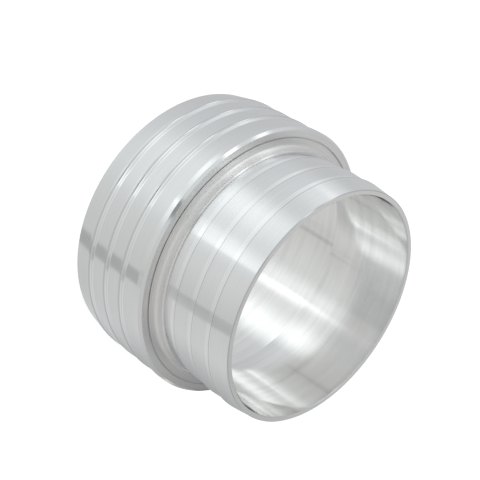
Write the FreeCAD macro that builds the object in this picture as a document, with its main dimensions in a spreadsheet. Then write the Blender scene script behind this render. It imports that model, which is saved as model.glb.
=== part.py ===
import FreeCAD, Part
import os
import Sketcher

# Hose barb reducer, turned from one piece of aluminium.
# It stands on its large end: +Z runs along the bore towards the small end, and the origin is the centre of
# the large end's rim. Each sketch is one half of a turned section, with the radius across and the height up.

NODE = "reducer_body"

# Driving dimensions: name, value, and what it measures. Lengths are in millimetres.
SIZES = (
    ("small_crest_diameter", 76.2, "across the crests of the small barbs, which is the small hose's bore"),
    ("shoulder_rise", 6.15, "from the small crests out to the large crests, on the radius"),
    ("rim_wall", 1.65, "wall of the tube at both rims"),
    ("rim_outer_chamfer", 0.2, "chamfer on the outside edge of both rims"),
    ("rim_inner_chamfer", 0.2, "chamfer on the inside edge of both rims"),
    ("large_lead_length", 7.55, "large rim to the first crest"),
    ("large_lead_rise", 1.15, "large rim up to the crests, on the radius"),
    ("large_barb_pitch", 7.25, "crest to crest on the large barrel"),
    ("large_barb_count", 3, "barbs on the large barrel"),
    ("large_barb_depth", 0.42, "crest to valley on the large barrel, on the radius"),
    ("large_crest_land", 0.8, "flat before each crest on the large barrel"),
    ("large_step", 0.1, "sharp step at each crest of the large barrel"),
    ("large_drop_length", 2.2, "crest to valley on the large barrel, along the axis"),
    ("large_land_length", 1.8, "land between the last barb and the shoulder"),
    ("large_land_fall", 0.05, "how much the land's radius falls towards the shoulder"),
    ("shoulder_chamfer", 0.75, "chamfer round the shoulder"),
    ("face_groove_inset", 2.0, "from that chamfer in to the ring groove in the shoulder face"),
    ("face_groove_width", 0.5, "width of that groove"),
    ("face_groove_depth", 0.7, "depth of that groove"),
    ("small_lead_length", 7.05, "small rim to the first crest"),
    ("small_lead_rise", 0.9, "small rim up to the crests, on the radius"),
    ("small_barb_pitch", 7.35, "crest to crest on the small barrel"),
    ("small_barb_count", 3, "barbs on the small barrel"),
    ("small_barb_depth", 0.7, "depth of the sharp step at each small crest, on the radius"),
    ("small_crest_land", 0.15, "flat before each crest on the small barrel"),
    ("small_knee_depth", 0.46, "depth under the crests where the ramp turns steeper, on the radius"),
    ("small_knee_length", 1.9, "from that turn to the step, along the axis"),
    ("small_root_gap", 0.2, "end of the last small barb to the shoulder face"),
    ("collar_length", 2.6, "height of the flared root above the shoulder face"),
    ("collar_flare", 0.38, "how far the root flares out from the crests' size"),
    ("collar_bevel", 0.35, "bevel between the flare and the shoulder face"),
    ("root_groove_width", 0.5, "relief groove above the flared root"),
    ("root_groove_depth", 0.4, "depth of that groove under the crests' size"),
    ("root_groove_lip", 0.2, "bevel on the flared root's upper edge, at that groove"),
    ("bore_step_depth", 0.45, "end of the small bore below the shoulder face"),
    ("bore_cone_angle", 60, "degrees between the axis and the cone that joins the bores"),
    ("cutter_clearance", 1.0, "how far a cutting profile stands clear of the metal"),
)

# Radii, as expressions on the sheet, each built on those above it.
SMALL_CREST = "(Sizes.small_crest_diameter / 2)"
SMALL_RIM = f"({SMALL_CREST} - Sizes.small_lead_rise)"
SMALL_BORE = f"({SMALL_RIM} - Sizes.rim_wall)"
SMALL_VALLEY = f"({SMALL_CREST} - Sizes.small_barb_depth)"
SMALL_KNEE = f"({SMALL_CREST} - Sizes.small_knee_depth)"
COLLAR_FOOT = f"({SMALL_CREST} + Sizes.collar_flare)"
LARGE_CREST = f"({SMALL_CREST} + Sizes.shoulder_rise)"
LARGE_RIM = f"({LARGE_CREST} - Sizes.large_lead_rise)"
LARGE_BORE = f"({LARGE_RIM} - Sizes.rim_wall)"
LARGE_VALLEY = f"({LARGE_CREST} - Sizes.large_barb_depth)"
LAND_END = f"({LARGE_CREST} - Sizes.large_land_fall)"
FACE_EDGE = f"({LAND_END} - Sizes.shoulder_chamfer)"
GROOVE_OUTSIDE = f"({FACE_EDGE} - Sizes.face_groove_inset)"
GROOVE_INSIDE = f"({GROOVE_OUTSIDE} - Sizes.face_groove_width)"

# Heights above the large rim, each built on those below it.
LARGE_FIRST_CREST = "Sizes.large_lead_length"
LAND_START = f"{LARGE_FIRST_CREST} + Sizes.large_barb_count * Sizes.large_barb_pitch"
SHOULDER_EDGE = f"{LAND_START} + Sizes.large_land_length"
SHOULDER_FACE = f"{SHOULDER_EDGE} + Sizes.shoulder_chamfer"
COLLAR_TOP = f"{SHOULDER_FACE} + Sizes.collar_length"
BORE_STEP = f"{SHOULDER_FACE} - Sizes.bore_step_depth"
CONE_END = f"{BORE_STEP} - ({LARGE_BORE} - {SMALL_BORE}) / tan(Sizes.bore_cone_angle * 1 deg)"
SMALL_LAST_CREST = f"{SHOULDER_FACE} + Sizes.small_root_gap + Sizes.small_barb_pitch"
SMALL_FIRST_CREST = f"{SMALL_LAST_CREST} + (Sizes.small_barb_count - 1) * Sizes.small_barb_pitch"
SMALL_END = f"{SMALL_FIRST_CREST} + Sizes.small_lead_length"

document = FreeCAD.newDocument("HoseBarbReducer")

sheet = document.addObject("Spreadsheet::Sheet", "Sizes")
for row, (alias, value, meaning) in enumerate(SIZES, start=1):
    sheet.set(f"A{row}", alias)
    sheet.set(f"B{row}", str(value))
    sheet.setAlias(f"B{row}", alias)
    sheet.set(f"C{row}", meaning)

body = document.addObject("PartDesign::Body", "Reducer")
body.Label = NODE
document.recompute()


def origin_feature(role):
    """The body's own origin plane or axis with this role."""
    return next(feature for feature in body.Origin.OriginFeatures if feature.Role == role)


def tie(sketch, kind, geometry, end, expression):
    """Holds one point of the sketch at a distance from the origin that follows the sheet."""
    if expression == "0":
        sketch.addConstraint(Sketcher.Constraint("PointOnObject", geometry, end, -1))
        return
    distance = float(sketch.evalExpression(expression))
    index = sketch.addConstraint(Sketcher.Constraint(kind, -1, 1, geometry, end, distance))
    sketch.setExpression(f"Constraints[{index}]", expression)


def cove(start, finish, flat):
    """A hollow arc from start to finish that runs parallel to the axis at its flat end."""
    other = finish if flat == start else start
    across = other.x - flat.x
    radius = (across ** 2 + (other.y - flat.y) ** 2) / (2 * across)
    centre = FreeCAD.Vector(flat.x + radius, flat.y, 0)
    outward = ((start + finish) / 2 - centre).normalize()
    return Part.Arc(start, centre + outward * radius, finish)


def section(name, points, cove_from=None, flat_at=None):
    """A closed sketch through the points, each a radius and a height as expressions, in order.
    The edge that leaves point number cove_from is a cove, parallel to the axis at point flat_at."""
    sketch = body.newObject("Sketcher::SketchObject", name)
    sketch.AttachmentSupport = [(origin_feature("XZ_Plane"), "")]
    sketch.MapMode = "FlatFace"
    places = [
        FreeCAD.Vector(*(float(sketch.evalExpression(text)) for text in point), 0) for point in points
    ]
    edges = []
    for number, place in enumerate(places):
        following = places[(number + 1) % len(places)]
        if number == cove_from:
            geometry = sketch.addGeometry(cove(place, following, places[flat_at]))
            tie(sketch, "DistanceY", geometry, 3, points[flat_at][1])
        else:
            geometry = sketch.addGeometry(Part.LineSegment(place, following))
        forward = sketch.getPoint(geometry, 1).isEqual(place, 1e-6)
        edges.append((geometry, 1, 2) if forward else (geometry, 2, 1))
    for number, (radius, height) in enumerate(points):
        geometry, start, finish = edges[number]
        before, _, before_finish = edges[number - 1]
        sketch.addConstraint(Sketcher.Constraint("Coincident", before, before_finish, geometry, start))
        tie(sketch, "DistanceX", geometry, start, radius)
        tie(sketch, "DistanceY", geometry, start, height)
    return sketch


def turned(kind, name, sketch):
    """Carries a section once round the axis: a Revolution adds metal and a Groove cuts it."""
    feature = body.newObject(f"PartDesign::{kind}", name)
    feature.Profile = sketch
    feature.ReferenceAxis = (sketch, ["V_Axis"])
    feature.Angle = 360
    document.recompute()
    return feature


def repeated(name, feature, count, pitch, downwards):
    """Repeats a cut along the axis, count times at this pitch."""
    pattern = body.newObject("PartDesign::LinearPattern", name)
    pattern.Originals = [feature]
    pattern.Direction = (origin_feature("Z_Axis"), [""])
    pattern.Reversed = downwards
    pattern.setExpression("Length", f"({count} - 1) * {pitch} * 1 mm")
    pattern.setExpression("Occurrences", count)
    body.Tip = pattern
    document.recompute()
    return pattern


# The small barrel: a plain tube to the crests' size with a tapered lead-in at its mouth.
small_tube = section("SmallTubeSection", (
    (SMALL_BORE, BORE_STEP),
    (SMALL_CREST, BORE_STEP),
    (SMALL_CREST, f"{SMALL_FIRST_CREST} + Sizes.small_crest_land"),
    (SMALL_RIM, f"{SMALL_END} - Sizes.rim_outer_chamfer"),
    (f"{SMALL_RIM} - Sizes.rim_outer_chamfer", SMALL_END),
    (f"{SMALL_BORE} + Sizes.rim_inner_chamfer", SMALL_END),
    (SMALL_BORE, f"{SMALL_END} - Sizes.rim_inner_chamfer"),
))
turned("Revolution", "SmallTube", small_tube)

# Its barbs: each has a narrow land, a sharp square step behind it that faces the shoulder, and below the step
# a ramp that climbs to the next land, steeper at first.
small_notch = section("SmallNotchSection", (
    (SMALL_CREST, SMALL_FIRST_CREST),
    (SMALL_VALLEY, SMALL_FIRST_CREST),
    (SMALL_KNEE, f"{SMALL_FIRST_CREST} - Sizes.small_knee_length"),
    (SMALL_CREST, f"{SMALL_FIRST_CREST} - Sizes.small_barb_pitch + Sizes.small_crest_land"),
    (f"{SMALL_CREST} + Sizes.cutter_clearance",
     f"{SMALL_FIRST_CREST} - Sizes.small_barb_pitch + Sizes.small_crest_land"),
    (f"{SMALL_CREST} + Sizes.cutter_clearance", SMALL_FIRST_CREST),
))
small_barb = turned("Groove", "SmallBarb", small_notch)
repeated("SmallBarbs", small_barb, "Sizes.small_barb_count", "Sizes.small_barb_pitch", downwards=True)

# The large barrel, the shoulder that joins the two, and the flared root of the small barrel.
large_barrel = section("LargeBarrelSection", (
    (f"{LARGE_BORE} + Sizes.rim_inner_chamfer", "0"),
    (f"{LARGE_RIM} - Sizes.rim_outer_chamfer", "0"),
    (LARGE_RIM, "Sizes.rim_outer_chamfer"),
    (LARGE_CREST, f"{LARGE_FIRST_CREST} - Sizes.large_crest_land"),
    (LARGE_CREST, LAND_START),
    (LAND_END, SHOULDER_EDGE),
    (FACE_EDGE, SHOULDER_FACE),
    (f"{COLLAR_FOOT} + Sizes.collar_bevel", SHOULDER_FACE),
    (COLLAR_FOOT, f"{SHOULDER_FACE} + Sizes.collar_bevel"),
    (SMALL_CREST, COLLAR_TOP),
    (SMALL_BORE, COLLAR_TOP),
    (SMALL_BORE, BORE_STEP),
    (LARGE_BORE, CONE_END),
    (LARGE_BORE, "Sizes.rim_inner_chamfer"),
), cove_from=8, flat_at=9)
turned("Revolution", "LargeBarrel", large_barrel)

# Its barbs point the other way, because a hose is pushed on from each end, and they are shallower: behind
# each land a small bevelled step, a taper down to the valley, and the ramp to the next land.
large_notch = section("LargeNotchSection", (
    (LARGE_CREST, LARGE_FIRST_CREST),
    (f"{LARGE_CREST} - Sizes.large_step", f"{LARGE_FIRST_CREST} + Sizes.large_step"),
    (LARGE_VALLEY, f"{LARGE_FIRST_CREST} + Sizes.large_drop_length"),
    (LARGE_CREST, f"{LARGE_FIRST_CREST} + Sizes.large_barb_pitch - Sizes.large_crest_land"),
    (f"{LARGE_CREST} + Sizes.cutter_clearance",
     f"{LARGE_FIRST_CREST} + Sizes.large_barb_pitch - Sizes.large_crest_land"),
    (f"{LARGE_CREST} + Sizes.cutter_clearance", LARGE_FIRST_CREST),
))
large_barb = turned("Groove", "LargeBarb", large_notch)
repeated("LargeBarbs", large_barb, "Sizes.large_barb_count", "Sizes.large_barb_pitch", downwards=False)

# The ring groove in the shoulder face.
face_groove = section("FaceGrooveSection", (
    (GROOVE_INSIDE, f"{SHOULDER_FACE} - Sizes.face_groove_depth"),
    (GROOVE_OUTSIDE, f"{SHOULDER_FACE} - Sizes.face_groove_depth"),
    (GROOVE_OUTSIDE, f"{SHOULDER_FACE} + Sizes.cutter_clearance"),
    (GROOVE_INSIDE, f"{SHOULDER_FACE} + Sizes.cutter_clearance"),
))
turned("Groove", "FaceGroove", face_groove)

# The relief groove that parts the last small barb from the flared root.
root_groove = section("RootGrooveSection", (
    (f"{SMALL_CREST} - Sizes.root_groove_depth", COLLAR_TOP),
    (f"{SMALL_CREST} - Sizes.root_groove_lip", COLLAR_TOP),
    (SMALL_CREST, f"{COLLAR_TOP} - Sizes.root_groove_lip"),
    (f"{SMALL_CREST} + Sizes.cutter_clearance", f"{COLLAR_TOP} - Sizes.root_groove_lip"),
    (f"{SMALL_CREST} + Sizes.cutter_clearance", f"{COLLAR_TOP} + Sizes.root_groove_width"),
    (f"{SMALL_CREST} - Sizes.root_groove_depth", f"{COLLAR_TOP} + Sizes.root_groove_width"),
))
turned("Groove", "RootGroove", root_groove)

for feature in document.Objects:
    if "Invalid" in feature.State or "Error" in feature.State:
        raise RuntimeError(f"{feature.Label} failed: {feature.State}")
if body.Shape.isNull() or not body.Shape.isValid() or len(body.Shape.Solids) != 1:
    raise RuntimeError(f"{NODE} is not one valid solid")

os.makedirs("parts", exist_ok=True)
body.Shape.exportStep(f"parts/{NODE}.step")
print(f"{NODE}: {body.Shape.Volume:.0f} cubic mm")
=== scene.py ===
import bpy
import numpy as np
from mathutils import Matrix


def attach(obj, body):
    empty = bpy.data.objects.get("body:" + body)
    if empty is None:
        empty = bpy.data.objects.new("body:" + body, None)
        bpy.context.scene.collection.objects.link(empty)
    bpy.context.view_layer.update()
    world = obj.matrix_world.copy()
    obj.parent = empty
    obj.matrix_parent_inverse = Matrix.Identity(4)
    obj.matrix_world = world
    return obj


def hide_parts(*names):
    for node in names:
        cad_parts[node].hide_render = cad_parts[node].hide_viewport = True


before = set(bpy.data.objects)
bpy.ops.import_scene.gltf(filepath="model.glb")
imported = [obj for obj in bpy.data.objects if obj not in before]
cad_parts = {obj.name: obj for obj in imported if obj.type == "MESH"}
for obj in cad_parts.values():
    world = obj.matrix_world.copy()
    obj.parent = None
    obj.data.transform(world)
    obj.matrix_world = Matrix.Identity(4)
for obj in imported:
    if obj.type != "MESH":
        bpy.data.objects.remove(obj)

scene = bpy.context.scene
scene.view_settings.view_transform = "Standard"
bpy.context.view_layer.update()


# The camera looks down on the small end from in front, as the photograph does. The reducer lies on
# its side there and stands on its large end here, so the camera is rolled by the angle between the
# two.

CAMERA_PLACE = (0.266560, 0.0, 0.228469)
CAMERA_RIGHT = (-0.510054, -0.543067, 0.667026)
CAMERA_ABOVE = (0.340302, -0.839617, -0.423365)
CAMERA_BEHIND = (0.789962, 0.011052, 0.613056)

camera = bpy.data.objects.new("camera", bpy.data.cameras.new("camera"))
camera.data.sensor_width = 36.0
camera.data.lens = 82.05
camera.data.clip_start = 0.01
camera.data.clip_end = 20.0
axes = Matrix((CAMERA_RIGHT, CAMERA_ABOVE, CAMERA_BEHIND)).transposed()
camera.matrix_world = Matrix.Translation(CAMERA_PLACE) @ axes.to_4x4()
scene.collection.objects.link(camera)
scene.camera = camera


# The reducer is turned from one piece of aluminium bar: barbs and shoulder with a profile tool,
# rims faced and edges broken, both bores bored through. Lengths are in millimetres. Bores, rims,
# crests and valleys are radii, heights start at the large rim, and a round eases a corner.

LARGE_BORE = 41.45
LARGE_BORE_END = 27.994
LARGE_BORE_ROUND = 0.6
LARGE_RIM = 43.1
LARGE_CREST = 44.25
LARGE_VALLEY = 43.83
LARGE_LAND = 0.8
LARGE_LAND_ROUND = 6.0
LARGE_LAND_BAND = (0.5, 0.35)
LARGE_STEP = 0.18
LARGE_PITCH = 7.25
LARGE_CRESTS = 7.55 + LARGE_PITCH * np.arange(3)
SCOOP_RADIUS = LARGE_CREST - LARGE_STEP - 0.01
SCOOP_START = 0.4
SCOOP_START_ROUND = 0.4
SCOOP_LENGTH = 1.05
SCOOP_END_ROUND = 0.8
SCOOP_SHARES = (0.35, 0.55, 0.7)

LAST_RAMP_END = 29.3
LAST_RAMP_ROUND = 4.0
CHAMFER_START = 31.1
SHOULDER = 31.85
SHOULDER_EDGE = LARGE_CREST - 0.8
SHOULDER_FOOT = 38.83
RING_OUTSIDE = 41.45
RING_INSIDE = 40.95
RING_DEPTH = 0.7
FACE_LINES = np.array([40.35, 39.6])
FACE_LINE_SIDES = (0.15, 0, -0.15)

SMALL_BORE = 35.55
SMALL_BORE_END = SHOULDER - 0.45
SMALL_RIM = 37.2
SMALL_CREST = 38.1
SMALL_LAND = 0.15
SMALL_LAND_ROUND = 1.0
SMALL_KNEE = 0.46
SMALL_KNEE_HEIGHT = -1.9
SMALL_KNEE_ROUND = 4.0
SMALL_STEP = 0.7
SMALL_PITCH = 7.35
SMALL_CRESTS = 39.4 + SMALL_PITCH * np.arange(3)
SMALL_END = 61.15
COLLAR_FOOT = (38.48, SHOULDER + 0.35)
COLLAR_TOP = (SMALL_CREST, SHOULDER + 2.6)
COLLAR_POINTS = 18
UNDERCUT = 0.4
UNDERCUT_TOP = COLLAR_TOP[1] + 0.5

EDGE_BREAK = 0.2
EDGE_ROUND = 0.08
SHARP = 0.05
NO_ROUND = 0.0
COLUMNS = 240

# The small bore is lighter and darker in bands along its length. Each is its height and how bright
# it is.
BORE_BANDS = [
    (30, 1), (33, 0.98), (35, 1.01), (36.5, 1.03), (40, 1.02), (41.8, 0.97), (42.8, 0.95),
    (43.6, 0.98), (45.7, 0.98), (46.3, 0.93), (47, 0.93), (47.6, 0.98), (59.3, 0.98), (60.1, 0.95),
    (60.6, 0.9), (61, 0.9),
]
# Painted highlights and painted shade in bands along the scoop behind each large step. Each is its
# height above the crest and how bright it is.
SCOOP_PAINTED_LIGHT_BANDS = [
    (0.3, 1), (0.4, 1.05), (0.75, 1.05), (0.97, 0.93), (1.14, 1), (1.35, 1.1), (1.5, 1.1),
    (1.58, 1),
]


def cove(start, finish, count):
    """Points on a hollow arc from start to finish, both left out. Its circle passes through both
    ends, and its centre is level with the finish, so that the arc reaches it parallel to the
    axis."""
    across, along = start[0] - finish[0], start[1] - finish[1]
    radius = (across ** 2 + along ** 2) / (2 * across)
    centre = np.array([finish[0] + radius, finish[1]])
    first, last = (np.arctan2(*(np.array(end) - centre)[::-1]) for end in (start, finish))
    turn = (last - first + np.pi) % (2 * np.pi) - np.pi
    angles = first + turn * np.arange(1, count) / count
    arc = centre + abs(radius) * np.stack([np.cos(angles), np.sin(angles)], 1)
    return [(*point, NO_ROUND) for point in arc]


def eased(corners, steps=4, guard=0.05, largest=0.42, guard_largest=0.46):
    """A closed section with its corners eased. Each corner is a radius, a height and its round e,
    which starts e * tan(turn / 2) before the corner. A guard point on each side of the round keeps
    the flats flat. Each takes its largest share of a side at most."""
    points = []
    for number, (x, y, ease) in enumerate(corners):
        here = np.array([x, y])
        if ease == NO_ROUND:
            points.append(here)
            continue
        back = np.array(corners[number - 1][:2]) - here
        ahead = np.array(corners[(number + 1) % len(corners)][:2]) - here
        back_length, ahead_length = np.linalg.norm(back), np.linalg.norm(ahead)
        back, ahead = back / back_length, ahead / ahead_length
        half = np.arccos(np.clip(-back @ ahead, -1, 1)) / 2
        reach = min(ease * np.tan(half), largest * back_length, largest * ahead_length)
        middle = (back + ahead) / np.linalg.norm(back + ahead)
        radius = reach / np.tan(half)
        centre = here + middle * radius / np.cos(half)
        spread = np.linspace(-half, half, steps + 1)[:, None]
        side = (ahead - back) / np.linalg.norm(ahead - back)
        arc = centre - middle * radius * np.cos(spread) + side * radius * np.sin(spread)
        points.append(here + back * min(reach + guard, guard_largest * back_length))
        points.extend(arc)
        points.append(here + ahead * min(reach + guard, guard_largest * ahead_length))
    return np.array(points)


# The section goes once round: large rim, outside, small rim, bores.
section = [
    (LARGE_BORE + EDGE_BREAK, 0.0, EDGE_ROUND),
    (LARGE_RIM - EDGE_BREAK, 0.0, EDGE_ROUND),
    (LARGE_RIM, EDGE_BREAK, EDGE_ROUND),
]
# Each large ramp rises to a land and drops at a small step, and a scoop runs from there down to the
# valley.
for crest in LARGE_CRESTS:
    section += [
        (LARGE_CREST, crest - LARGE_LAND, LARGE_LAND_ROUND),
        *((LARGE_CREST, crest - before, NO_ROUND) for before in LARGE_LAND_BAND),
        (LARGE_CREST, crest, 2 * SHARP),
        (LARGE_CREST - LARGE_STEP, crest + LARGE_STEP, SHARP),
        (SCOOP_RADIUS, crest + SCOOP_START, SCOOP_START_ROUND),
    ]
    for share in SCOOP_SHARES:
        radius = SCOOP_RADIUS + share * (LARGE_VALLEY - SCOOP_RADIUS)
        section.append((radius, crest + SCOOP_START + share * SCOOP_LENGTH, NO_ROUND))
    section.append((LARGE_VALLEY, crest + SCOOP_START + SCOOP_LENGTH, SCOOP_END_ROUND))
# The shoulder's edge is chamfered, and its face has a ring groove and two fine lines, which lie
# flat and are drawn with painted shade. A hollow collar and an undercut lead from the face to the
# small barrel.
section += [
    (LARGE_CREST, LAST_RAMP_END, LAST_RAMP_ROUND),
    (LARGE_CREST - 0.05, CHAMFER_START, SHARP),
    (SHOULDER_EDGE, SHOULDER, SHARP),
    (RING_OUTSIDE, SHOULDER, SHARP),
    (RING_OUTSIDE, SHOULDER - RING_DEPTH, SHARP),
    (RING_INSIDE, SHOULDER - RING_DEPTH, SHARP),
    (RING_INSIDE, SHOULDER, SHARP),
    *((line + side, SHOULDER, NO_ROUND) for line in FACE_LINES for side in FACE_LINE_SIDES),
    (SHOULDER_FOOT, SHOULDER, SHARP),
    (*COLLAR_FOOT, SHARP),
    *cove(COLLAR_FOOT, COLLAR_TOP, COLLAR_POINTS),
    (SMALL_CREST, COLLAR_TOP[1] - 0.2, SHARP),
    (SMALL_CREST - 0.2, COLLAR_TOP[1], SHARP),
    (SMALL_CREST - UNDERCUT, COLLAR_TOP[1], SHARP),
    (SMALL_CREST - UNDERCUT, UNDERCUT_TOP, SHARP),
]
# Each small ramp falls from the land below it to a knee and on to the foot of the next step. The
# undercut has taken the start of the first ramp.
for crest in SMALL_CRESTS:
    start = np.array([SMALL_CREST, crest - SMALL_PITCH + SMALL_LAND])
    knee = np.array([SMALL_CREST - SMALL_KNEE, crest + SMALL_KNEE_HEIGHT])
    if start[1] < UNDERCUT_TOP:
        start += (UNDERCUT_TOP - start[1]) / (knee[1] - start[1]) * (knee - start)
        section.append((*start, SHARP))
    else:
        section.append((*start, SMALL_LAND_ROUND))
    section += [
        (*knee, SMALL_KNEE_ROUND),
        (SMALL_CREST - SMALL_STEP, crest, SHARP),
        (SMALL_CREST, crest, SHARP),
    ]
section += [
    (SMALL_CREST, SMALL_CRESTS[-1] + SMALL_LAND, SMALL_LAND_ROUND),
    (SMALL_RIM, SMALL_END - EDGE_BREAK, EDGE_ROUND),
    (SMALL_RIM - EDGE_BREAK, SMALL_END, EDGE_ROUND),
    (SMALL_BORE + EDGE_BREAK, SMALL_END, EDGE_ROUND),
    (SMALL_BORE, SMALL_END - EDGE_BREAK, EDGE_ROUND),
    *((SMALL_BORE, height, NO_ROUND) for height, _ in BORE_BANDS[-2:0:-1]),
    (SMALL_BORE, SMALL_BORE_END, SHARP),
    (LARGE_BORE, LARGE_BORE_END, LARGE_BORE_ROUND),
    (LARGE_BORE, EDGE_BREAK, EDGE_ROUND),
]
outline = eased(section) / 1000
run = np.diff(outline, axis=0, append=outline[:1])
way = np.concatenate([[0], np.cumsum(np.linalg.norm(run, axis=1))])


def grid(rows, columns):
    """The row number and the column number of every place in a grid, row by row."""
    return (numbers.ravel() for numbers in np.indices((rows, columns)))


def turned(name, outline, way, columns):
    """A closed section carried once round the axis. Point j of the section at column i stands at
    (r_j cos a_i, r_j sin a_i, z_j), with a_i = 2 pi i / columns. In its UV map u is the turn round
    the axis and v the way along the section, both from 0 to 1."""
    rows = len(outline)
    angles = 2 * np.pi * np.arange(columns) / columns
    radius, height = outline[:, :1], outline[:, 1:]
    places = np.stack([radius * np.cos(angles), radius * np.sin(angles), height + 0 * angles], 2)
    row, column = grid(rows, columns)
    next_row, next_column = (row + 1) % rows, (column + 1) % columns
    quads = np.stack([row * columns + column, row * columns + next_column,
                      next_row * columns + next_column, next_row * columns + column], 1)
    mesh = bpy.data.meshes.new(name)
    mesh.from_pydata(places.reshape(-1, 3), [], quads)
    across = np.stack([column, column + 1, column + 1, column], 1) / columns
    up = np.stack([way[row], way[row], way[row + 1], way[row + 1]], 1) / way[-1]
    mesh.uv_layers.new(name="section").data.foreach_set("uv", np.stack([across, up], 2).ravel())
    mesh.shade_smooth()
    piece = bpy.data.objects.new(name, mesh)
    scene.collection.objects.link(piece)
    return piece


reducer = turned("reducer", outline, way, COLUMNS)
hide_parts("reducer_body")
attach(reducer, "root")

# How bright the cut metal is painted at each ring of the section. The collar is painted lighter,
# a painted highlight, and the foot of each small ramp is lighter. The ring groove, the face's fine
# lines, the rim's broken edges and the sharp corners at the steps are painted darker, as painted
# shade, and the rim's face is painted a little lighter. Bands of painted highlight and shade run
# along each scoop. A reach is where a tone starts and ends, above or below the height that it
# belongs to.
COLLAR_PAINTED_LIGHT, COLLAR_REACH = 1.1, (0.3, 2.6)
RING_PAINTED_SHADE, RING_REACH = 0.89, (-0.76, -0.04)
FACE_LINE_PAINTED_SHADE, FACE_REACH = 0.88, (-0.001, 0.001)
LARGE_STEP_PAINTED_SHADE, LARGE_STEP_REACH = 0.84, (-0.4, 0.22)
SMALL_RAMP_TONE, SMALL_RAMP_REACH = 1.08, (-1.95, -0.1)
SMALL_STEP_PAINTED_SHADE, SMALL_STEP_REACH = 0.7, (-0.1, 0.22)
RIM_PAINTED_LIGHT = 1.04
RIM_OUTER_EDGE_PAINTED_SHADE = 0.74
RIM_INNER_EDGE_PAINTED_SHADE = 0.84
RIM_EDGE = EDGE_BREAK + 0.04
SCOOP_REACH = (0.3, 2.0)
TOOL_LINE_REACH = (0.4, 2.55)
TOOL_LINE_PITCH = 0.52
TOOL_LINE_SHARE = 0.07

radius, height = outline.T * 1000


def within(level, reach):
    """Which rings of the section are inside this reach of the level."""
    return (height > level + reach[0]) & (height < level + reach[1])


painted_light_and_tone = np.ones(len(outline))
on_collar = (radius > SMALL_CREST - 0.3) & (radius < COLLAR_FOOT[0] + 0.02)
# Painted highlight: the collar is painted lighter.
painted_light_and_tone[on_collar & within(SHOULDER, COLLAR_REACH)] = COLLAR_PAINTED_LIGHT
hollow = (radius > SMALL_CREST) & within(SHOULDER, TOOL_LINE_REACH)
tool_lines = np.cos(2 * np.pi * (height[hollow] - COLLAR_FOOT[1]) / TOOL_LINE_PITCH)
painted_light_and_tone[hollow] *= 1 - TOOL_LINE_SHARE * tool_lines
in_ring = (radius > RING_INSIDE - 0.05) & (radius < RING_OUTSIDE + 0.05)
# Painted shade in the ring groove on the shoulder's face.
painted_light_and_tone[in_ring & within(SHOULDER, RING_REACH)] = RING_PAINTED_SHADE
on_line = abs(radius[:, None] - FACE_LINES).min(axis=1) < 0.01
# Painted shade along the face's two fine lines.
painted_light_and_tone[on_line & within(SHOULDER, FACE_REACH)] = FACE_LINE_PAINTED_SHADE
outer_edge, inner_edge = radius > SMALL_RIM - RIM_EDGE, radius < SMALL_BORE + RIM_EDGE
# Painted light on the small rim's face, and painted shade on its broken edges.
painted_light_and_tone[(height > SMALL_END - 0.02) & ~outer_edge & ~inner_edge] = RIM_PAINTED_LIGHT
painted_light_and_tone[(height > SMALL_END - RIM_EDGE) & outer_edge] = RIM_OUTER_EDGE_PAINTED_SHADE
painted_light_and_tone[(height > SMALL_END - RIM_EDGE) & inner_edge] = RIM_INNER_EDGE_PAINTED_SHADE
in_bore = (radius < SMALL_BORE + 0.01) & (height < SMALL_END - RIM_EDGE)
painted_light_and_tone[in_bore] = np.interp(height[in_bore], *zip(*BORE_BANDS))
for crest in LARGE_CRESTS:
    # Painted shade at the crest, step and foot of each large barb.
    painted_light_and_tone[(radius > SCOOP_RADIUS - 0.05) & within(crest, LARGE_STEP_REACH)] = LARGE_STEP_PAINTED_SHADE
    # Painted highlights and painted shade in bands along each scoop.
    scoop = (radius > LARGE_RIM) & within(crest, SCOOP_REACH)
    painted_light_and_tone[scoop] = np.interp(height[scoop] - crest, *zip(*SCOOP_PAINTED_LIGHT_BANDS))
for crest in SMALL_CRESTS:
    painted_light_and_tone[(radius > SMALL_RIM) & within(crest, SMALL_RAMP_REACH)] = SMALL_RAMP_TONE
    # Painted shade at the edge of each small step.
    painted_light_and_tone[(radius > SMALL_RIM) & within(crest, SMALL_STEP_REACH)] = SMALL_STEP_PAINTED_SHADE


def label_points(piece, label, values):
    """Gives each point of the piece its own value under this label."""
    piece.data.attributes.new(label, "FLOAT", "POINT").data.foreach_set("value", values)


label_points(reducer, "painted_light_and_tone", np.repeat(painted_light_and_tone, COLUMNS))


def add(tree, kind, values=(), **settings):
    """A node of this kind with these settings, and these values or links on its inputs."""
    made = tree.nodes.new(kind)
    for key, setting in settings.items():
        setattr(made, key, setting)
    for key, value in dict(values).items():
        if isinstance(value, bpy.types.NodeSocket):
            tree.links.new(value, made.inputs[key])
        else:
            made.inputs[key].default_value = value
    return made


def worked(tree, operation, first, second, kind="ShaderNodeMath"):
    """What this operation makes of two numbers, or of two vectors with kind
    ShaderNodeVectorMath."""
    return add(tree, kind, {0: first, 1: second}, operation=operation).outputs[0]


# The lathe's lines, as a normal and as a tone: noise with few marks to the metre round the axis,
# and with a mark for each pitch along the section.
MARKS_TO_THE_METRE = 45

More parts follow.
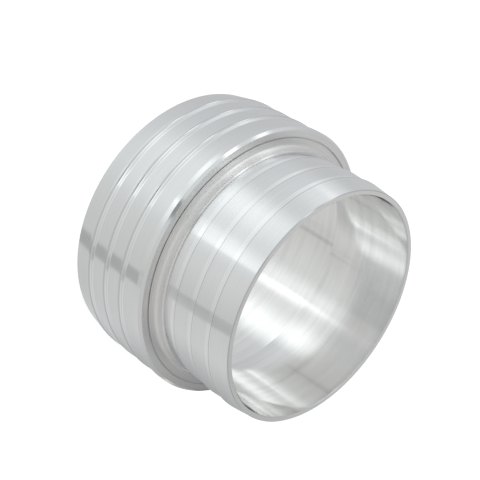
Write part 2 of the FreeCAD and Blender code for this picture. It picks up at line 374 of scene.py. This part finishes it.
lathe_lines = bpy.data.node_groups.new("lathe_lines", "ShaderNodeTree")
for label, start in (("Pitch", 0.6), ("Depth", 0.02)):
    entry = lathe_lines.interface.new_socket(label, in_out="INPUT", socket_type="NodeSocketFloat")
    entry.default_value = start
lathe_lines.interface.new_socket("Normal", in_out="OUTPUT", socket_type="NodeSocketVector")
lathe_lines.interface.new_socket("Tone", in_out="OUTPUT", socket_type="NodeSocketFloat")
given = add(lathe_lines, "NodeGroupInput")
kept = add(lathe_lines, "NodeGroupOutput")
uv = add(lathe_lines, "ShaderNodeUVMap", uv_map="section")
along = add(lathe_lines, "ShaderNodeSeparateXYZ", {0: uv.outputs["UV"]})
millimetres = worked(lathe_lines, "MULTIPLY", along.outputs["Y"], way[-1] * 1000)
lines = worked(lathe_lines, "DIVIDE", millimetres, given.outputs["Pitch"])
place = add(lathe_lines, "ShaderNodeTexCoord")
across = (MARKS_TO_THE_METRE, MARKS_TO_THE_METRE, 0)
wide = worked(lathe_lines, "MULTIPLY", place.outputs["Object"], across, "ShaderNodeVectorMath")
tall = add(lathe_lines, "ShaderNodeCombineXYZ", {"Z": lines})
drawn_out = worked(lathe_lines, "ADD", wide, tall.outputs[0], "ShaderNodeVectorMath")
marks = add(lathe_lines, "ShaderNodeTexNoise", {"Vector": drawn_out, "Scale": 1.0, "Detail": 4.0})
metres = worked(lathe_lines, "MULTIPLY", given.outputs["Depth"], 0.001)
cut = add(lathe_lines, "ShaderNodeBump",
          {"Height": marks.outputs["Fac"], "Distance": metres, "Strength": 1.0})
lathe_lines.links.new(cut.outputs["Normal"], kept.inputs["Normal"])
lathe_lines.links.new(marks.outputs["Fac"], kept.inputs["Tone"])


def aluminium(name, colour, pitch, depth, streaks, roughness, stretch):
    """Bare aluminium of this colour, with lathe lines this far apart and this deep, in millimetres,
    and lighter and darker by this share. Its highlights are drawn out across the lines by the
    stretch."""
    metal = bpy.data.materials.new(name)
    metal.use_nodes = True
    tree = metal.node_tree
    shader = tree.nodes["Principled BSDF"]
    lines = add(tree, "ShaderNodeGroup", {"Pitch": pitch, "Depth": depth}, node_tree=lathe_lines)
    # The painted light and shade of each ring, with the collar's tool lines and the bore's bands.
    painted_light_and_tone_node = add(tree, "ShaderNodeAttribute", attribute_name="painted_light_and_tone")
    streak = add(tree, "ShaderNodeMapRange",
                 {"Value": lines.outputs["Tone"], "To Min": 1 - streaks, "To Max": 1 + streaks})
    shade = worked(tree, "MULTIPLY", painted_light_and_tone_node.outputs["Fac"], streak.outputs["Result"])
    shaded = add(tree, "ShaderNodeVectorMath", {0: colour, "Scale": shade}, operation="SCALE")
    tree.links.new(shaded.outputs[0], shader.inputs["Base Color"])
    tree.links.new(lines.outputs["Normal"], shader.inputs["Normal"])
    shader.inputs["Metallic"].default_value = 1.0
    shader.inputs["Roughness"].default_value = roughness
    shader.inputs["Anisotropic"].default_value = stretch
    shader.inputs["Anisotropic Rotation"].default_value = 0.25
    reducer.data.materials.append(metal)


aluminium("turned_aluminium", (0.855, 0.865, 0.868),
          pitch=0.45, depth=0.004, streaks=0.045, roughness=0.15, stretch=0.75)
aluminium("bored_aluminium", (0.864, 0.865, 0.858),
          pitch=2.0, depth=0.006, streaks=0.12, roughness=0.1, stretch=0.8)
aluminium("faced_aluminium", (0.873, 0.865, 0.857),
          pitch=0.35, depth=0.005, streaks=0.09, roughness=0.3, stretch=0.5)
# The walls that the section goes down are bored, flat faces and the collar are faced, and the rest
# is turned. The numbers follow the order of the three metals above.
bored = run[:, 1] < -abs(run[:, 0])
collar = (height > SHOULDER) & (height < COLLAR_TOP[1] - 0.3) & (radius < 40)
faced = (abs(run[:, 0]) > 2 * abs(run[:, 1])) | collar
finish = np.where(bored, 1, np.where(faced, 2, 0))
reducer.data.polygons.foreach_set("material_index", np.repeat(finish, COLUMNS))


# The floor is plain white card. It is white to the camera and keeps a faint shadow. It is left out
# of the metal's reflections, because the metal in the photograph shows a grey studio below it.

FLOOR_HALF = 1.5
FLOOR_WHITE = (0.8, 0.8, 0.8, 1)
FLOOR_GLOW = 0.6

floor_mesh = bpy.data.meshes.new("floor")
corners = FLOOR_HALF * np.array([(-1, -1, 0), (1, -1, 0), (1, 1, 0), (-1, 1, 0)])
floor_mesh.from_pydata(corners, [], [(0, 1, 2, 3)])
floor = bpy.data.objects.new("floor", floor_mesh)
scene.collection.objects.link(floor)
floor.visible_glossy = False
floor.visible_shadow = False


def empty_material(name):
    """A material with no nodes yet, and its node tree."""
    made = bpy.data.materials.new(name)
    made.use_nodes = True
    made.node_tree.nodes.clear()
    return made, made.node_tree


def put_on_surface(tree, shader):
    """Makes this shader the one that is seen."""
    add(tree, "ShaderNodeOutputMaterial", {"Surface": shader.outputs[0]})


card, tree = empty_material("white_card")
path = add(tree, "ShaderNodeLightPath")
seen = worked(tree, "MAXIMUM", path.outputs["Is Camera Ray"], path.outputs["Is Glossy Ray"])
seen = worked(tree, "MAXIMUM", seen, path.outputs["Is Transmission Ray"])
glow = add(tree, "ShaderNodeEmission", {"Strength": worked(tree, "MULTIPLY", seen, FLOOR_GLOW)})
matt = add(tree, "ShaderNodeBsdfDiffuse", {"Color": FLOOR_WHITE})
both = add(tree, "ShaderNodeAddShader", {0: matt.outputs[0], 1: glow.outputs[0]})
put_on_surface(tree, both)
floor_mesh.materials.append(card)


# The reducer stands in a tent of white cloth that is lit from outside, brighter on the left and in
# front than behind. The cloth has three heights, each with its own greys round the axis, and a
# faint tint. One height changes into the next between these elevations, in degrees.

TENT_RADIUS = 2.0
TENT_CENTRE = (0, 0, 0.03)
LOW_TO_MIDDLE = (-54, -36)
MIDDLE_TO_HIGH = (-8, 18)


def hidden_panel(name, places):
    """A panel through the points (i, j) of a grid, with a square between each four neighbours. The
    camera doesn't see it and it casts no shadow."""
    rows, columns = places.shape[0] - 1, places.shape[1] - 1
    row, column = grid(rows, columns)
    first = row * (columns + 1) + column
    mesh = bpy.data.meshes.new(name)
    squares = np.stack([first, first + columns + 1, first + columns + 2, first + 1], 1)
    mesh.from_pydata(places.reshape(-1, 3), [], squares)
    mesh.shade_smooth()
    piece = bpy.data.objects.new(name, mesh)
    scene.collection.objects.link(piece)
    piece.visible_camera = False
    piece.visible_shadow = False
    return piece


def patch(name, azimuth, elevation, width, height, lean=0.0, distance=TENT_RADIUS, steps=24):
    """Part of a ball round the reducer, width by height degrees, seen from inside. Point (i, j) is
    turned by u_i and raised by v_j from straight ahead; then the whole leans to the right, and is
    raised and turned to its place. Returns the piece and each point's u and v in degrees."""
    u, v = np.meshgrid(*(np.linspace(-size / 2, size / 2, steps + 1) for size in (width, height)))
    turn, rise = np.radians(u), np.radians(v)
    ahead, side, up = np.cos(rise) * np.cos(turn), np.cos(rise) * np.sin(turn), np.sin(rise)
    cosine, sine = np.cos(np.radians(lean)), np.sin(np.radians(lean))
    side, up = side * cosine + up * sine, up * cosine - side * sine
    cosine, sine = np.cos(np.radians(elevation)), np.sin(np.radians(elevation))
    ahead, up = ahead * cosine - up * sine, ahead * sine + up * cosine
    cosine, sine = np.cos(np.radians(azimuth)), np.sin(np.radians(azimuth))
    x, y = ahead * cosine - side * sine, ahead * sine + side * cosine
    return hidden_panel(name, distance * np.stack([x, y, up], 2) + TENT_CENTRE), u, v


tent, _, _ = patch("tent", 0, 0, 360, 178, steps=96)
cloth, tree = empty_material("tent_cloth")
cloth.cycles.emission_sampling = "NONE"
place = add(tree, "ShaderNodeTexCoord")
round_axis = add(tree, "ShaderNodeTexGradient", {"Vector": place.outputs["Object"]},
                 gradient_type="RADIAL")
height_of = add(tree, "ShaderNodeSeparateXYZ", {0: place.outputs["Object"]})


def round_the_axis(stops):
    """A ramp of plain shades round the axis. A stop is degrees from the camera's side, and a grey
    or a colour."""
    ramp = add(tree, "ShaderNodeValToRGB", {"Fac": round_axis.outputs["Fac"]})
    while len(ramp.color_ramp.elements) < len(stops):
        ramp.color_ramp.elements.new(0.5)
    for element, (degrees, shade) in zip(ramp.color_ramp.elements, stops):
        element.position = (degrees + 180) / 360
        element.color = (*np.broadcast_to(shade, 3), 1)
    return ramp.outputs["Color"]


def rising(lower, upper, start, finish):
    """The lower shade below the first elevation and the upper one above the second, with a soft
    change between them."""
    bottom, top = TENT_RADIUS * np.sin(np.radians((start, finish)))
    share = add(tree, "ShaderNodeMapRange",
                {"Value": height_of.outputs["Z"], "From Min": bottom, "From Max": top},
                interpolation_type="SMOOTHSTEP")
    shades = {"Factor": share.outputs["Result"], "A": lower, "B": upper}
    return add(tree, "ShaderNodeMix", shades, data_type="RGBA").outputs["Result"]


low = round_the_axis([
    (-180, 0.68), (-165, 0.64), (-150, 0.555), (-120, 0.575), (-90, 0.64), (-70, 0.69),
    (-45, 0.75), (-20, 0.75), (10, 0.69), (50, 0.63), (90, 0.62), (120, 0.58), (150, 0.58),
    (180, 0.66)])
middle = round_the_axis([
    (-180, 0.68), (-165, 0.65), (-155, 0.57), (-110, 0.60), (-80, 0.65), (-60, 0.71), (-40, 0.75),
    (-10, 0.74), (8, 0.74), (25, 0.71), (50, 0.62), (70, 0.65), (105, 0.68), (150, 0.67),
    (170, 0.71), (180, 0.68)])
high = round_the_axis([
    (-180, 0.58), (-130, 0.60), (-100, 0.70), (-50, 0.78), (-20, 0.73), (0, 0.70), (30, 0.65),
    (60, 0.60), (110, 0.60), (150, 0.52), (180, 0.60)])
tint = round_the_axis([
    (-180, (1, 1, 1)), (-150, (0.985, 1, 1.012)), (-120, (0.985, 1, 1.02)),
    (-80, (0.98, 1, 1.02)), (-45, (0.965, 1, 1)), (0, (0.975, 1, 1)), (35, (0.99, 1, 0.985)),
    (90, (1, 1, 0.99)), (110, (0.99, 1, 1)), (140, (0.985, 1, 1.012)), (180, (1, 1, 1))])
lower = rising(low, middle, *LOW_TO_MIDDLE)
greys = rising(lower, high, *MIDDLE_TO_HIGH)
tinted = worked(tree, "MULTIPLY", greys, tint, "ShaderNodeVectorMath")
put_on_surface(tree, add(tree, "ShaderNodeEmission", {"Color": tinted}))
tent.data.materials.append(cloth)


# Soft boxes glow through the cloth and black cards dim it. A screen is a panel a little inside the
# tent with a glow, or with a share of the light behind it held back.

SCREEN_COLOUR = (0.975, 1.0, 0.995, 1)

screen, tree = empty_material("soft_screen")
screen.cycles.emission_sampling = "NONE"
added = add(tree, "ShaderNodeAttribute", attribute_name="added_light")
passed = add(tree, "ShaderNodeAttribute", attribute_name="light_let_through")
glow = add(tree, "ShaderNodeEmission", {"Color": SCREEN_COLOUR, "Strength": added.outputs["Fac"]})
behind_it = add(tree, "ShaderNodeBsdfTransparent", {"Color": passed.outputs["Fac"]})
both = add(tree, "ShaderNodeAddShader", {0: glow.outputs[0], 1: behind_it.outputs[0]})
put_on_surface(tree, both)


def make_screen(piece, added_light, held_back, inward, soft):
    """Makes a panel a screen. It fades towards each edge with 3 s^2 - 2 s^3, where s is how far
    inward a point is from the edge, as a share of the soft width there and at most 1."""
    share = np.clip([distance / width for distance, width in zip(inward, soft)], 0, 1)
    strength = np.prod(share * share * (3 - 2 * share), axis=0).ravel()
    label_points(piece, "added_light", added_light * strength)
    label_points(piece, "light_let_through", 1 - held_back * strength)
    piece.data.materials.append(screen)


def screen_at(name, azimuth, elevation, width, height, distance, soft,
              added_light=0.0, held_back=0.0, lean=0.0):
    """A screen in front of the tent, soft by this many degrees at its left, right, bottom and top
    edges, where left and right are the smaller and the larger azimuth."""
    piece, u, v = patch(name, azimuth, elevation, width, height, lean, distance)
    inward = (u + width / 2, width / 2 - u, v + height / 2, height / 2 - v)
    make_screen(piece, added_light, held_back, inward, soft)


# The boxes in front and above give the broad light band along both barrels and the strip beside it.
screen_at("front_strip", -3.0, -24.25, 17, 12.5, 1.92, (15, 0.5, 1, 1), added_light=0.36)
screen_at("front_strip_foot", -7.5, -35, 7.6, 8.5, 1.9, (6, 0.5, 0.5, 1.5),
          added_light=0.4, lean=42)
screen_at("front_box", 1, -37.5, 28, 12, 1.87, (10, 16, 1, 3), added_light=0.18)
screen_at("top_box", -40, -35.5, 37, 14, 1.84, (15, 19, 3, 5), added_light=0.41)
screen_at("top_box_end", -33, -24.75, 38, 12.5, 1.81, (16, 18, 3, 1.5), added_light=0.16)
screen_at("middle_box", -20, -31, 64, 24, 1.78, (18, 12, 6, 1.5), added_light=0.12)
screen_at("low_box", -26, -50, 70, 18, 1.765, (25, 25, 5, 6), added_light=0.11)

# The lights on the left catch the grooves and the shoulder's edge, and the cloth is uneven above
# and below them.
screen_at("left_box", -87, -6, 60, 50, 1.75, (22, 26, 9, 12), added_light=0.25)
screen_at("left_spot", -88.5, 11.75, 15, 73.5, 1.72, (5, 7, 8, 6), added_light=0.52)
screen_at("top_spot", -56.5, 24, 15, 64, 1.69, (5, 6, 14, 4), added_light=0.64, lean=-25)
screen_at("cloth_glow", -10, 30, 300, 30, 1.65, (30, 60, 12, 10), added_light=0.06)
screen_at("cloth_seam", 10, 3, 150, 28, 1.635, (25, 30, 7, 8), held_back=0.12)

# The flag puts one dark spot on the shoulder's edge. The rod is the dark band across both barrels.
screen_at("black_flag", -2.5, 43.5, 16, 12, 1.62, (4, 5, 3, 1), held_back=0.9)
screen_at("black_rod_top", 59, -25, 11, 14, 1.59, (1.5, 2, 3, 1), held_back=0.29, lean=-20)
screen_at("black_rod", 69, -52.5, 9, 34, 1.56, (1.5, 1.5, 1, 6), held_back=0.32, lean=-28)
screen_at("black_rod_end", 52.8, -35.7, 5, 3.8, 1.545, (2, 2, 1, 0.8), held_back=0.33, lean=-8)

# Behind the reducer are a table's lit edge and the dark gap under it, and above them a dark corner
# of the room.
screen_at("table_edge", 137, -1, 12, 10, 1.53, (4, 4, 4, 4), added_light=0.6)
screen_at("table_gap", 160, -17, 16, 12, 1.5, (3, 3, 3, 3), held_back=0.95)
screen_at("dark_corner", 165, 38, 24, 44, 1.47, (12, 6, 10, 10), held_back=0.22)


# A card stands close beside the reducer, where a table top would be, and paints the table's shade
# into the metal's reflections. It is a flat screen that holds half of the light back from the
# metal.

CARD_HALF = 0.085
CARD_BOTTOM = -0.025
CARD_TOP = 0.065
CARD_DISTANCE = 0.0455
CARD_AZIMUTH = np.radians(136.8)
CARD_SOFT = (CARD_HALF, CARD_HALF, 0.035, 0.03)
CARD_HOLDS_BACK = 0.5

u, v = np.meshgrid(np.linspace(-CARD_HALF, CARD_HALF, 35), np.linspace(CARD_BOTTOM, CARD_TOP, 25))
x = CARD_DISTANCE * np.cos(CARD_AZIMUTH) - u * np.sin(CARD_AZIMUTH)
y = CARD_DISTANCE * np.sin(CARD_AZIMUTH) + u * np.cos(CARD_AZIMUTH)
painted_shade_card = hidden_panel("painted_shade_card", np.stack([x, y, v], 2))
painted_shade_card.visible_diffuse = False
inward = (u + CARD_HALF, CARD_HALF - u, v - CARD_BOTTOM, CARD_TOP - v)
make_screen(painted_shade_card, 0.0, CARD_HOLDS_BACK, inward, CARD_SOFT)


# Beyond the tent everything is white. The camera sees that as the background, because the tent is
# hidden from it.

world = bpy.data.worlds.new("studio")
world.use_nodes = True
world.node_tree.nodes["Background"].inputs["Color"].default_value = (1, 1, 1, 1)
scene.world = world
